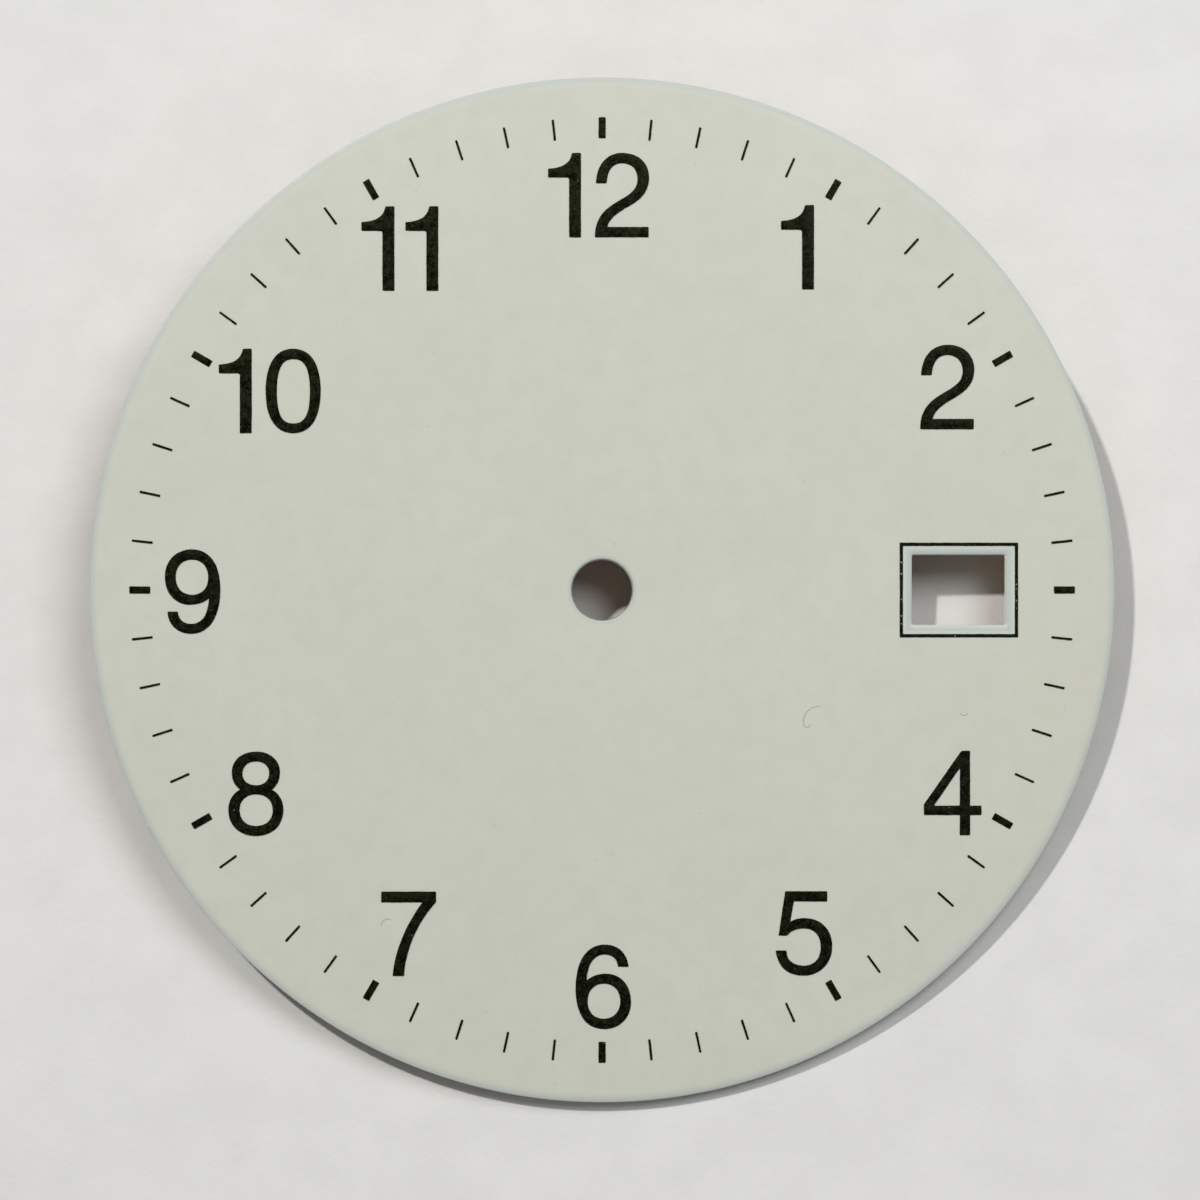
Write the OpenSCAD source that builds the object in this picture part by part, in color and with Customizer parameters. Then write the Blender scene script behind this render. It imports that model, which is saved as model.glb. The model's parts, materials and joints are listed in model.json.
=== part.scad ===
// Wristwatch dial: a lacquered brass blank with printed marks, a centre hole, a date window and two feet.
// The origin is the centre of the hole on the back face. +Z points at the reader, +Y at 12 and +X at 3.

/* [Blank] */
// Outer diameter of the finished dial, over the lacquer
dial_d = 29; // [26:0.1:34]
// Thickness of the brass blank
plate_t = 0.4; // [0.3:0.05:0.8]
// Width over which the blank's front edge rolls over at the rim
rim_roll_w = 0.3; // [0.2:0.05:0.8]
// Drop of the front edge over that width
rim_roll_h = 0.03; // [0.02:0.01:0.15]
// Chamfer of the blank's back edge
back_chamfer = 0.04; // [0.02:0.01:0.08]

/* [Openings] */
// Diameter of the centre hole
bore_d = 1.71; // [1.2:0.01:3]
// Width over which the front edge of the centre hole rolls over
bore_roll_w = 0.06; // [0.02:0.01:0.15]
// Drop of that edge over that width
bore_roll_h = 0.03; // [0.01:0.01:0.08]
// Width of the date window, inside the lacquer
window_w = 2.65; // [2:0.05:3.4]
// Height of the date window, inside the lacquer
window_h = 1.98; // [1.4:0.02:2.6]
// Corner radius of the date window
window_corner_r = 0.06; // [0.03:0.01:0.2]
// Width over which the front edge of the date window rolls over
window_roll_w = 0.12; // [0.06:0.01:0.21]
// Drop of that edge over that width
window_roll_h = 0.035; // [0.02:0.005:0.08]

/* [Lacquer] */
// Thickness of the lacquer on the face
coat_t = 0.05; // [0.03:0.01:0.1]
// Thickness of the lacquer on the rim and on the walls of the date window
lip_t = 0.025; // [0.01:0.005:0.04]
// Depth that the lacquer reaches down the walls of the date window, from the face
lip_depth = 0.22; // [0.16:0.01:0.3]
// Height of bare brass left at the foot of the rim
bare_rim_h = 0.1; // [0.05:0.01:0.15]

/* [Printing] */
// Thickness of the printed ink
ink_t = 0.03; // [0.01:0.005:0.05]
// Distance from the rim to the outer ends of the marks
track_inset = 1.13; // [0.8:0.02:2]
// Length of a mark
mark_len = 0.59; // [0.4:0.01:1]
// Width of an hour mark
hour_mark_w = 0.2; // [0.1:0.01:0.4]
// Width of a minute mark
minute_mark_w = 0.065; // [0.04:0.005:0.12]
// Width of the line round the date window
frame_line_w = 0.085; // [0.05:0.005:0.2]
// Bare lacquer between the date window and its line
frame_gap = 0.26; // [0.24:0.01:0.5]
// Bare lacquer between that line and the 3 o'clock mark
frame_to_mark = 1.02; // [0.3:0.01:1.5]
// Height of the numerals
numeral_h = 2.38; // [1.6:0.02:2.8]
// Bare lacquer between the marks and the tallest reach of 12 and 6
numeral_gap = 0.4; // [0.2:0.01:1]

/* [Feet] */
// Diameter of a foot
foot_d = 0.72; // [0.5:0.01:0.9]
// Length of a foot behind the back face
foot_len = 1.5; // [0.8:0.05:2.2]
// Chamfer at the tip of a foot
foot_chamfer = 0.12; // [0.05:0.01:0.2]
// Distance from the rim to the axis of a foot
foot_inset = 2.8; // [1.5:0.1:5]
// Place of the first foot, in degrees clockwise from 12
foot_angle = 75; // [66:1:80]
// Depth of the seat milled in the back for a foot
seat_depth = 0.08; // [0.05:0.01:0.12]
// Width of the ring of braze between a foot and the wall of its seat
braze_w = 0.26; // [0.15:0.01:0.4]
// Height that the braze climbs up a foot, past the back face
braze_rise = 0.16; // [0.05:0.01:0.3]

/* [Hidden] */
$fn = 96;

// Overrun of every cut past the face it opens
cut = 0.2;
// Straight pieces in a rolled edge, and in each curved stroke of a numeral
roll_steps = 6;
curve_steps = 8;
hour_count = 12;
minute_count = 60;
minutes_per_hour = minute_count / hour_count;

dial_r = dial_d / 2;
plate_r = dial_r - lip_t;
bore_r = bore_d / 2;
face_z = plate_t + coat_t;
lip_z = face_z - lip_depth;

// The lacquer levels out the rolled edges a little, so its own rolls are larger than the brass ones
coat_sag = coat_t / 5;
rim_coat_roll_w = rim_roll_w + lip_t;
rim_coat_roll_h = rim_roll_h + coat_sag;
window_coat_roll_w = window_roll_w + lip_t;
window_coat_roll_h = window_roll_h + coat_sag;

// The centre hole is cut clean after lacquering, so both materials end on its wall
bore_coat_roll_w = bore_roll_w + coat_t / 2;
bore_coat_roll_h = bore_roll_h + coat_sag;

mark_outer_r = dial_r - track_inset;
mark_inner_r = mark_outer_r - mark_len;
mark_mid_r = mark_outer_r - mark_len / 2;

frame_reach = frame_gap + frame_line_w;
window_x = mark_inner_r - frame_to_mark - frame_reach - window_w / 2;
window_size = [window_w, window_h];

foot_r = foot_d / 2;
foot_circle_r = dial_r - foot_inset;
seat_r = foot_r + braze_w;

// Distance from the centre to the middle of 12 and of 6
numeral_ring_r = mark_inner_r - numeral_gap - numeral_h / 2;

// Middle of each numeral from 1 to 12, right and up, as shares of numeral_ring_r.
// The odd sideways steps are the printer's optical spacing. There is no 3.
place_shares = [
    [0.494, 0.866], [0.872, 0.513], [0, 0], [0.886, -0.513], [0.51, -0.868], [0.003, -1.003],
    [-0.489, -0.869], [-0.875, -0.515], [-1.035, -0.004], [-0.84, 0.503], [-0.511, 0.863], [-0.009, 0.998]
];

// Gap between two digits as a share of numeral_h, and the same for two 1s
pair_gap_share = 0.167;
ones_gap_share = 0.132;

// Width of each digit from 0 to 9, as a share of numeral_h
width_shares = [0.65, 0.39, 0.64, 0, 0.68, 0.67, 0.655, 0.648, 0.65, 0.655];

// Fullness of the ovals: 0.55 is an ellipse, and more is squarer
outer_oval_share = 0.64;
inner_oval_share = 0.7;
bowl_oval_share = 0.6;

// Outlines of the digits as shares of numeral_h, from the bottom left corner.
// A row of one point is a corner. A row of three is a curve: two handles and its end.
one_shares = [
    [[0.388, 0]], [[0.388, 1]], [[0.285, 1]], [[0.265, 0.87], [0.16, 0.82], [0, 0.812]],
    [[0, 0.712]], [[0.222, 0.71]], [[0.24, 0.71], [0.25, 0.7], [0.25, 0.68]], [[0.25, 0]]
];
two_shares = [
    [[0.012, 0.642]], [[0.02, 0.85], [0.13, 1], [0.325, 1]], [[0.51, 1], [0.64, 0.89], [0.64, 0.71]],
    [[0.64, 0.56], [0.57, 0.47], [0.43, 0.385]], [[0.28, 0.3], [0.17, 0.23], [0.145, 0.12]],
    [[0.635, 0.12]], [[0.635, 0]], [[0, 0]], [[0, 0.24], [0.13, 0.345], [0.28, 0.43]],
    [[0.43, 0.515], [0.505, 0.57], [0.505, 0.69]], [[0.505, 0.81], [0.43, 0.88], [0.325, 0.88]],
    [[0.21, 0.88], [0.145, 0.8], [0.137, 0.642]]
];
four_shares = [
    [[0.545, 1]], [[0.445, 1]], [[0, 0.365]], [[0, 0.24]], [[0.427, 0.24]], [[0.427, 0]],
    [[0.545, 0]], [[0.545, 0.24]], [[0.68, 0.24]], [[0.68, 0.348]], [[0.545, 0.348]]
];
four_gap_shares = [[[0.427, 0.8]], [[0.115, 0.348]], [[0.427, 0.348]]];
five_shares = [
    [[0.115, 1]], [[0.61, 1]], [[0.61, 0.882]], [[0.215, 0.882]], [[0.17, 0.635]],
    [[0.22, 0.67], [0.28, 0.68], [0.35, 0.68]], [[0.54, 0.68], [0.67, 0.54], [0.67, 0.35]],
    [[0.67, 0.15], [0.53, 0], [0.33, 0]], [[0.14, 0], [0.02, 0.11], [0, 0.295]], [[0.125, 0.295]],
    [[0.13, 0.18], [0.21, 0.115], [0.33, 0.115]], [[0.46, 0.115], [0.535, 0.2], [0.535, 0.34]],
    [[0.535, 0.48], [0.46, 0.56], [0.33, 0.56]], [[0.25, 0.56], [0.175, 0.53], [0.135, 0.475]],
    [[0.035, 0.475]]
];
six_shares = [
    [[0.625, 0.74]], [[0.61, 0.91], [0.5, 1], [0.34, 1]],
    [[0.13, 1], [0, 0.8], [0, 0.48]], [[0, 0.15], [0.14, 0], [0.34, 0]],
    [[0.53, 0], [0.655, 0.14], [0.655, 0.325]], [[0.655, 0.52], [0.53, 0.655], [0.36, 0.655]],
    [[0.27, 0.655], [0.19, 0.63], [0.13, 0.575]], [[0.14, 0.78], [0.22, 0.885], [0.34, 0.885]],
    [[0.43, 0.885], [0.49, 0.84], [0.503, 0.74]]
];
seven_shares = [
    [[0, 1]], [[0.648, 1]], [[0.648, 0.88]], [[0.43, 0.63], [0.29, 0.33], [0.267, 0]],
    [[0.133, 0]], [[0.17, 0.33], [0.3, 0.62], [0.49, 0.875]], [[0, 0.875]]
];
eight_half_shares = [
    [[0.325, 0]], [[0.52, 0], [0.65, 0.12], [0.65, 0.31]], [[0.65, 0.42], [0.6, 0.5], [0.512, 0.55]],
    [[0.57, 0.59], [0.61, 0.66], [0.61, 0.755]], [[0.61, 0.9], [0.49, 1], [0.325, 1]]
];

// Gaps inside the digits: the low and high corners of each oval's box, as shares of numeral_h
zero_gap_shares = [[0.13, 0.11], [0.525, 0.88]];
six_gap_shares = [[0.14, 0.12], [0.53, 0.54]];
eight_low_gap_shares = [[0.13, 0.115], [0.525, 0.495]];
eight_high_gap_shares = [[0.165, 0.6], [0.485, 0.885]];

// Points of a quarter ellipse from the flat face out and down to a wall
function roll_down(face_end, w, h) = [
    for (i = [0 : roll_steps])
        let (a = 90 * i / roll_steps)
        face_end + [w * sin(a), h * (cos(a) - 1)]
];

function reverse(points) = [for (i = [len(points) - 1 : -1 : 0]) points[i]];

// The rolled edge of an opening, from its wall up to the flat face
function roll_up(face_end, w, h) = reverse(roll_down(face_end, -w, h));

// The front of a disc from the wall of its centre hole to the wall of its rim, as radius and height
function front_line(z, hole_w, hole_h, rim_w, rim_h) = concat(
    roll_up([bore_r + hole_w, z], hole_w, hole_h),
    roll_down([plate_r - rim_roll_w, z], rim_w, rim_h)
);

function brass_front() = front_line(plate_t, bore_roll_w, bore_roll_h, rim_roll_w, rim_roll_h);

function lacquer_front() = front_line(
    face_z, bore_coat_roll_w, bore_coat_roll_h, rim_coat_roll_w, rim_coat_roll_h
);

// Points of a curve after its start, from its two handles and its end
function curve(start, row) = [
    for (i = [1 : curve_steps])
        let (t = i / curve_steps, s = 1 - t)
        s ^ 3 * start + 3 * s ^ 2 * t * row[0] + 3 * s * t ^ 2 * row[1] + t ^ 3 * row[2]
];

// Points of a closed outline given as rows of corners and curves
function trace(rows) = [
    for (i = [0 : len(rows) - 1])
        let (before = rows[(i + len(rows) - 1) % len(rows)])
        each len(rows[i]) == 1 ? rows[i] : curve(before[len(before) - 1], rows[i])
];

// Points of an oval between the low and high corners of its box
function oval(box, fullness) =
    let (low = box[0], high = box[1], mid = (low + high) / 2, reach = fullness * (high - mid))
    trace([
        [[mid.x + reach.x, high.y], [high.x, mid.y + reach.y], [high.x, mid.y]],
        [[high.x, mid.y - reach.y], [mid.x + reach.x, low.y], [mid.x, low.y]],
        [[mid.x - reach.x, low.y], [low.x, mid.y - reach.y], [low.x, mid.y]],
        [[low.x, mid.y + reach.y], [mid.x - reach.x, high.y], [mid.x, high.y]]
    ]);

// The right half of an 8 from its foot to its top, and its mirror image back down
function eight_outline() =
    let (half = trace(eight_half_shares))
    concat(half, [for (i = [len(half) - 2 : -1 : 1]) [width_shares[8] - half[i].x, half[i].y]]);

// Each digit is its outline and then the gaps inside it, all as points in shares of numeral_h
function six_loops() = [trace(six_shares), oval(six_gap_shares, bowl_oval_share)];

function digit_loops(digit) =
    digit == 0 ? [
        oval([[0, 0], [width_shares[0], 1]], outer_oval_share),
        oval(zero_gap_shares, inner_oval_share)
    ]
    : digit == 1 ? [trace(one_shares)]
    : digit == 2 ? [trace(two_shares)]
    : digit == 4 ? [trace(four_shares), trace(four_gap_shares)]
    : digit == 5 ? [trace(five_shares)]
    : digit == 6 ? six_loops()
    : digit == 7 ? [trace(seven_shares)]
    : digit == 8 ? [
        eight_outline(),
        oval(eight_low_gap_shares, bowl_oval_share),
        oval(eight_high_gap_shares, bowl_oval_share)
    ]
    // A 9 is a 6 turned half way round
    : [for (loop = six_loops()) [for (p = loop) [width_shares[9] - p.x, 1 - p.y]]];

// One digit with its left edge at x, in millimetres, and its middle height at zero
module digit_shape(digit, x) {
    loops = [for (loop = digit_loops(digit)) [for (p = loop) [x, -numeral_h / 2] + numeral_h * p]];
    difference() {
        polygon(loops[0]);
        for (i = [1 : 1 : len(loops) - 1])
            polygon(loops[i]);
    }
}

// Ink lies on the lacquer
module ink() {
    color([0.08, 0.085, 0.08])
        translate([0, 0, face_z])
            linear_extrude(ink_t)
                children();
}

// A numeral of one or two digits, whose middle lies at its share of the ring
module numeral(hour) {
    digits = hour < 10 ? [hour] : [1, hour - 10];
    gap_share = hour == 11 ? ones_gap_share : pair_gap_share;
    first_w = numeral_h * width_shares[digits[0]];
    second_x = first_w + numeral_h * gap_share;
    last_w = numeral_h * width_shares[digits[len(digits) - 1]];
    full_w = len(digits) == 1 ? first_w : second_x + last_w;
    ink()
        translate(numeral_ring_r * place_shares[hour - 1]) {
            digit_shape(digits[0], -full_w / 2);
            if (len(digits) == 2)
                digit_shape(digits[1], second_x - full_w / 2);
        }
}

// A mark at a number of degrees clockwise from 12
module mark(angle, w) {
    rotate(-angle)
        translate([0, mark_mid_r])
            square([w, mark_len], center = true);
}

module hour_marks() {
    ink()
        for (hour = [0 : hour_count - 1])
            mark(360 * hour / hour_count, hour_mark_w);
}

module minute_marks() {
    ink()
        for (minute = [0 : minute_count - 1])
            if (minute % minutes_per_hour != 0)
                mark(360 * minute / minute_count, minute_mark_w);
}

module date_frame_line() {
    ink()
        translate([window_x, 0])
            difference() {
                square(window_size + 2 * frame_reach * [1, 1], center = true);
                square(window_size + 2 * frame_gap * [1, 1], center = true);
            }
}

// Cross-section of the cut above a rolled window edge, with the wall at x = wall
module roll_cut(wall, z, w, h) {
    edge = roll_up([wall + w, z], w, h);
    polygon(concat([[0, z + cut], [0, z - h]], edge, [[wall + w, z + cut]]));
}

// The date window as a cut: its walls stand out by grow, and its front edge rolls over at height z
module window_cut(grow, z, roll_w, roll_h) {
    corner_r = window_corner_r + grow;
    straight = window_size / 2 - window_corner_r * [1, 1];
    translate([window_x, 0]) {
        translate([0, 0, -cut])
            linear_extrude(z + 2 * cut) {
                square(2 * [straight.x + corner_r, straight.y], center = true);
                square(2 * [straight.x, straight.y + corner_r], center = true);
                for (sx = [-1, 1], sy = [-1, 1])
                    translate([sx * straight.x, sy * straight.y])
                        circle(corner_r);
            }
        for (sx = [-1, 1], sy = [-1, 1])
            translate([sx * straight.x, sy * straight.y])
                rotate_extrude()
                    roll_cut(corner_r, z, roll_w, roll_h);
        for (side = [0 : 3]) {
            across = side % 2 == 0 ? straight.x : straight.y;
            along = side % 2 == 0 ? straight.y : straight.x;
            rotate(90 * side)
                translate([across, along])
                    rotate([90, 0, 0])
                        linear_extrude(2 * along)
                            roll_cut(corner_r, z, roll_w, roll_h);
        }
    }
}

module brass_window_cut() {
    window_cut(lip_t, plate_t, window_roll_w, window_roll_h);
}

// Puts a foot, its braze or its seat in place: 0 is the first foot and 1 the one across from it
module at_foot(which) {
    rotate(-foot_angle - 180 * which)
        translate([0, foot_circle_r])
            children();
}

module dial_plate() {
    back = [[plate_r, back_chamfer], [plate_r - back_chamfer, 0], [bore_r, 0]];
    color([0.79, 0.65, 0.35])
        difference() {
            rotate_extrude()
                polygon(concat(brass_front(), back));
            brass_window_cut();
            for (which = [0, 1])
                at_foot(which)
                    translate([0, 0, -cut])
                        cylinder(h = seat_depth + cut, r = seat_r);
        }
}

module white_lacquer() {
    rim_end = [[dial_r, bare_rim_h], [plate_r, bare_rim_h]];
    color([0.79, 0.8, 0.75])
        difference() {
            union() {
                rotate_extrude()
                    polygon(concat(lacquer_front(), rim_end, reverse(brass_front())));
                intersection() {
                    brass_window_cut();
                    translate([0, -dial_r, lip_z])
                        cube([dial_d, dial_d, plate_t - lip_z]);
                }
            }
            window_cut(0, face_z, window_coat_roll_w, window_coat_roll_h);
        }
}

module dial_foot(which) {
    tip_r = foot_r - foot_chamfer;
    color([0.72, 0.45, 0.3])
        at_foot(which)
            rotate_extrude()
                polygon([
                    [0, -foot_len], [tip_r, -foot_len], [foot_r, foot_chamfer - foot_len],
                    [foot_r, seat_depth], [0, seat_depth]
                ]);
}

// The braze fills the seat round the foot, from half way up the seat's wall, and climbs the foot
// in a hollow curve
module foot_braze(which) {
    wall_z = seat_depth / 2;
    climb = wall_z + braze_rise;
    color([0.8, 0.76, 0.62])
        at_foot(which)
            rotate_extrude()
                polygon(concat(
                    [[foot_r, seat_depth], [seat_r, seat_depth]],
                    [
                        for (i = [0 : roll_steps])
                            let (a = 90 * i / roll_steps)
                            [seat_r - braze_w * sin(a), wall_z - climb * (1 - cos(a))]
                    ]
                ));
}

dial_plate();
white_lacquer();
date_frame_line();
hour_marks();
minute_marks();
numeral(1);  // numeral_1
numeral(2);  // numeral_2
numeral(4);  // numeral_4
numeral(5);  // numeral_5
numeral(6);  // numeral_6
numeral(7);  // numeral_7
numeral(8);  // numeral_8
numeral(9);  // numeral_9
numeral(10);  // numeral_10
numeral(11);  // numeral_11
numeral(12);  // numeral_12
dial_foot(0);  // dial_foot_right
dial_foot(1);  // dial_foot_left
foot_braze(0);  // foot_braze_right
foot_braze(1);  // foot_braze_left
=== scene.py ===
"""Looks of a lacquered watch dial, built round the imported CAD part.

Shapes are worked out in millimetres in the row frame: the origin is the middle of the centre hole on
the back face, +Z points at the reader, +Y at 12 and +X at 3. Meshes are stored in metres.
"""

import json
import math

import bpy
import numpy as np
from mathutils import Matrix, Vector
from mathutils.geometry import delaunay_2d_cdt


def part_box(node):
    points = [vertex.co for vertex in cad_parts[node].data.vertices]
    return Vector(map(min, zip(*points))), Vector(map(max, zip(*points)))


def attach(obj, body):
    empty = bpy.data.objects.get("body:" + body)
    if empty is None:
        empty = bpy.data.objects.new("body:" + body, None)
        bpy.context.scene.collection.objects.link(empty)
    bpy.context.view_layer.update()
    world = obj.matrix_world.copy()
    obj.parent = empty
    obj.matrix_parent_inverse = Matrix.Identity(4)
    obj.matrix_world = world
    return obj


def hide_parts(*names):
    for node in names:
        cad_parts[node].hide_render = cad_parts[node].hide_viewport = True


MM = 0.001


def cad_box(node):
    """The lowest and the highest corner of a CAD node, in millimetres."""
    low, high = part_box(node)
    return low / MM, high / MM


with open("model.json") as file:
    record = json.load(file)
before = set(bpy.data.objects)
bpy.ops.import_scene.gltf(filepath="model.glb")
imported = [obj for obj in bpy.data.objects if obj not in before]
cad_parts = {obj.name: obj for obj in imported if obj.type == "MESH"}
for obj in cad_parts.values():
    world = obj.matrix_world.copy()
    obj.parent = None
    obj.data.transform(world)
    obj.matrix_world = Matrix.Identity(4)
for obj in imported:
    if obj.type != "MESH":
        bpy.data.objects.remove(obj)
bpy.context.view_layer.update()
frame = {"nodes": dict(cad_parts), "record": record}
NODES = frame["nodes"]
MOUNTS = {mount["name"]: mount for mount in frame["record"]["mounts"]}

# Blank
PLATE_R, _, PLATE_T = cad_box("dial_plate")[1]
RIM_ROLL = (0.3, 0.03)
BACK_CHAMFER = 0.04
EDGE_BREAK = 0.012

# Lacquer
DIAL_R, _, FACE_Z = cad_box("white_lacquer")[1]
BARE_RIM_H = cad_box("white_lacquer")[0].z
COAT_T = FACE_Z - PLATE_T
COAT_SAG = COAT_T / 5
LIP_T = DIAL_R - PLATE_R
LIP_DEPTH = 0.22
LIP_Z = FACE_Z - LIP_DEPTH
# How far its lower edges wander, and the reach of that on the rim and in the window, in steps
HEM_WANDER = 0.012
RIM_HEM_REACH = 5
WINDOW_HEM_REACH = 2
LACQUER_SEED = 3

# Line round the date window
LINE_LOW, LINE_HIGH = cad_box("date_frame_line")
LINE_W = 0.085
LINE_GAP = 0.26

# Openings
BORE_R = MOUNTS["centre_bore"]["dims"]["r_mm"]
BORE_ROLL = (0.06, 0.03)
WINDOW_X = MOUNTS["date_window"]["pos_m"][0] / MM
WINDOW_HALF = (LINE_HIGH - LINE_LOW).xy / 2 - Vector((1, 1)) * (LINE_W + LINE_GAP)
WINDOW_CORNER_R = 0.06
WINDOW_ROLL = (0.12, 0.035)

# The lacquer levels out the rolled edges a little, so its own rolls are larger than the brass ones
RIM_COAT_ROLL = (RIM_ROLL[0] + LIP_T, RIM_ROLL[1] + COAT_SAG)
BORE_COAT_ROLL = (BORE_ROLL[0] + COAT_T / 2, BORE_ROLL[1] + COAT_SAG)
WINDOW_COAT_ROLL = (WINDOW_ROLL[0] + LIP_T, WINDOW_ROLL[1] + COAT_SAG)

# Along its edges the coat is thinner, and painted shade darkens it where it turns down: how far from
# the edge that starts, and where it is thinnest and darkest
RIM_THIN_SHADE = (0.25, 0.01)
BORE_THIN_SHADE = (0.17, 0.03)
WINDOW_THIN_SHADE = (0.21, 0.12)
# The same for a dark ring of painted shade at the centre hole's edge, and for the cooler white round
# the date window
BORE_EDGE_SHADE = (0.04, 0.01)
WINDOW_COOL = (LINE_GAP + 0.04, LINE_GAP)

# Dust fibres caught in the lacquer, each an arc: middle, radius, direction and half sweep in degrees
FIBRES = (
    (6.12, -3.72, 0.425, 140, 58), (5.80, -3.80, 0.085, -80, 75), (10.235, -3.42, 0.125, -90, 62),
    (-6.05, -9.50, 0.195, 125, 56)
)
FIBRE_W = 0.034
FIBRE_FADE = 0.06

# Ink
INK_T = cad_box("hour_marks")[1].z - FACE_Z
INK_STEP = 0.014
INK_SOFTEN = 0.016
INK_SHOULDER = 0.024
PINHOLE_SHOULDER = 0.004
# The edge of the ink from below the lacquer's face up: way in by shoulders, height by thicknesses
INK_EDGE = ((0, -0.06), (0, 0.55), (0.12, 0.85), (0.3, 0.97), (0.5, 1))
# Metres below a top that still count as the top, and decimals to which points of an outline match
TOP_SLACK = 1e-7
KEY_DIGITS = 5
# An outline keeps a corner where it turns by more degrees than this, and keeps a side straight where
# that side is this many times as long as the next
CORNER_TURN = 26
STRAIGHT_RATIO = 2.5
# How far a print spreads past its CAD outline, how far its edge wanders, and the seed of that
HOUR_PRINT = (0, 0.002, 11)
MINUTE_PRINT = (0, 0.0016, 12)
LINE_PRINT = (0.002, 0.002, 13)
NUMERAL_SPREAD = 0.003
NUMERAL_WANDER = 0.0024
NUMERAL_SEED = 20
# Reach of the long and of the short wander of an edge, in steps of the outline
WANDER_REACHES = (8, 3)

# Feet, each in a shallow seat
FOOT_SIDES = ("right", "left")
FOOT_R = MOUNTS["foot_right"]["dims"]["r_mm"]
FOOT_LEN = -cad_box("dial_foot_right")[0].z
FOOT_CHAMFER = 0.12
FOOT_MIDDLES = {side: [c / MM for c in MOUNTS[f"foot_{side}"]["pos_m"][:2]] for side in FOOT_SIDES}
SEAT_DEPTH = cad_box("dial_foot_right")[1].z
BRAZE_W = 0.26
SEAT_R = FOOT_R + BRAZE_W
BRAZE_RISE = -cad_box("foot_braze_right")[0].z
# How unevenly the braze climbs the foot and fills its seat: share of the height, and reach in steps
BRAZE_CLIMB_WANDER = (0.12, 7)
BRAZE_LEVEL_WANDER = (0.3, 5)
BRAZE_SEED = 40

# A foot from its tip up, as radius and height: the dent of the turning centre, chamfer and shank
TIP_R = FOOT_R - FOOT_CHAMFER
FOOT_PROFILE = (
    (0.02, 0.016), (0.045, 0.003), (0.07, 0), (TIP_R - 0.012, 0), (TIP_R, 0.004),
    (FOOT_R - 0.01, FOOT_CHAMFER - 0.014), (FOOT_R - 0.001, FOOT_CHAMFER + 0.004),
    (FOOT_R, FOOT_CHAMFER + 0.02), (FOOT_R, 0.4 * FOOT_LEN), (FOOT_R, 0.7 * FOOT_LEN),
    (FOOT_R, FOOT_LEN + SEAT_DEPTH)
)

# Fineness of the meshes
RIM_STEPS = 720
BORE_STEPS = 144
FOOT_STEPS = 96
ROLL_STEPS = 12
CORNER_STEPS = 8
SIDE_STEPS = 24
PINHOLE_STEPS = 14

# Edges that turn by more degrees than this are shaded as sharp
SHARP_ANGLE = 35
INK_SHARP_ANGLE = 50

# Output kind of delaunay_2d_cdt that keeps what lies inside the outlines, and how near points join
CDT_INSIDE = 2
CDT_NEAR = 1e-7

# The photograph: where its middle falls on the dial, its width there, and the camera's distance
AIM = (-0.0594, -0.2857)
VIEW_W = 33.94
CAMERA_D = 91.0
SENSOR_W = 36.0
# The nearest and the farthest that it sees, in metres
CLIP_NEAR = 0.005
CLIP_FAR = 20

# The dial lies on its two feet and on the rim in this direction, in degrees anticlockwise from +X
LOW_RIM_ANGLE = -75
FLOOR_HALF = 3000

# Heat tint round a foot and lacquer mist on the back, each from where it starts to where it is full
HEAT_REACH = (2.6, 1.0)
MIST_RADII = (14.2, 14.75)
# Heights above the back over which painted shade darkens the punched walls, and the width of rim left
# without it
WALL_SHADE_Z = (0.008, 0.03)
WALL_SHADE_INSET = 1
# Two sets of long scratches: direction in degrees, and stretch
SCRATCH_LIE = (34, (14, 0.18, 1))
CROSS_LIE = (-52, (11, 0.14, 1))
# Copper darkens towards its root, between these heights
ROOT_DARK_Z = (-0.55, -0.1)

NUMERALS = (1, 2, 4, 5, 6, 7, 8, 9, 10, 11, 12)

# Pinholes in the printed line round the date window: side, place along it from its middle, and radius
LINE_PINHOLES = (
    ("left", 0.79, 0.024), ("left", 0.465, 0.025), ("left", -0.257, 0.021), ("left", -0.727, 0.023),
    ("left", -0.95, 0.02), ("right", 0.167, 0.022), ("right", 0.04, 0.018), ("right", -0.3, 0.023),
    ("right", -0.51, 0.017), ("low", -0.11, 0.02)
)

# Strength of the soft light all round, and of the pale backdrop that the camera sees
WORLD_LIGHT = 0.19
BACKDROP = 0.86
BACKDROP_COLOUR = (0.98, 0.99, 1.0, 1.0)
# Height of a mirrored direction, out of 1, where the backdrop starts and where it is full
BACKDROP_FADE = (0.1, -0.9)


# Mesh building

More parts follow.
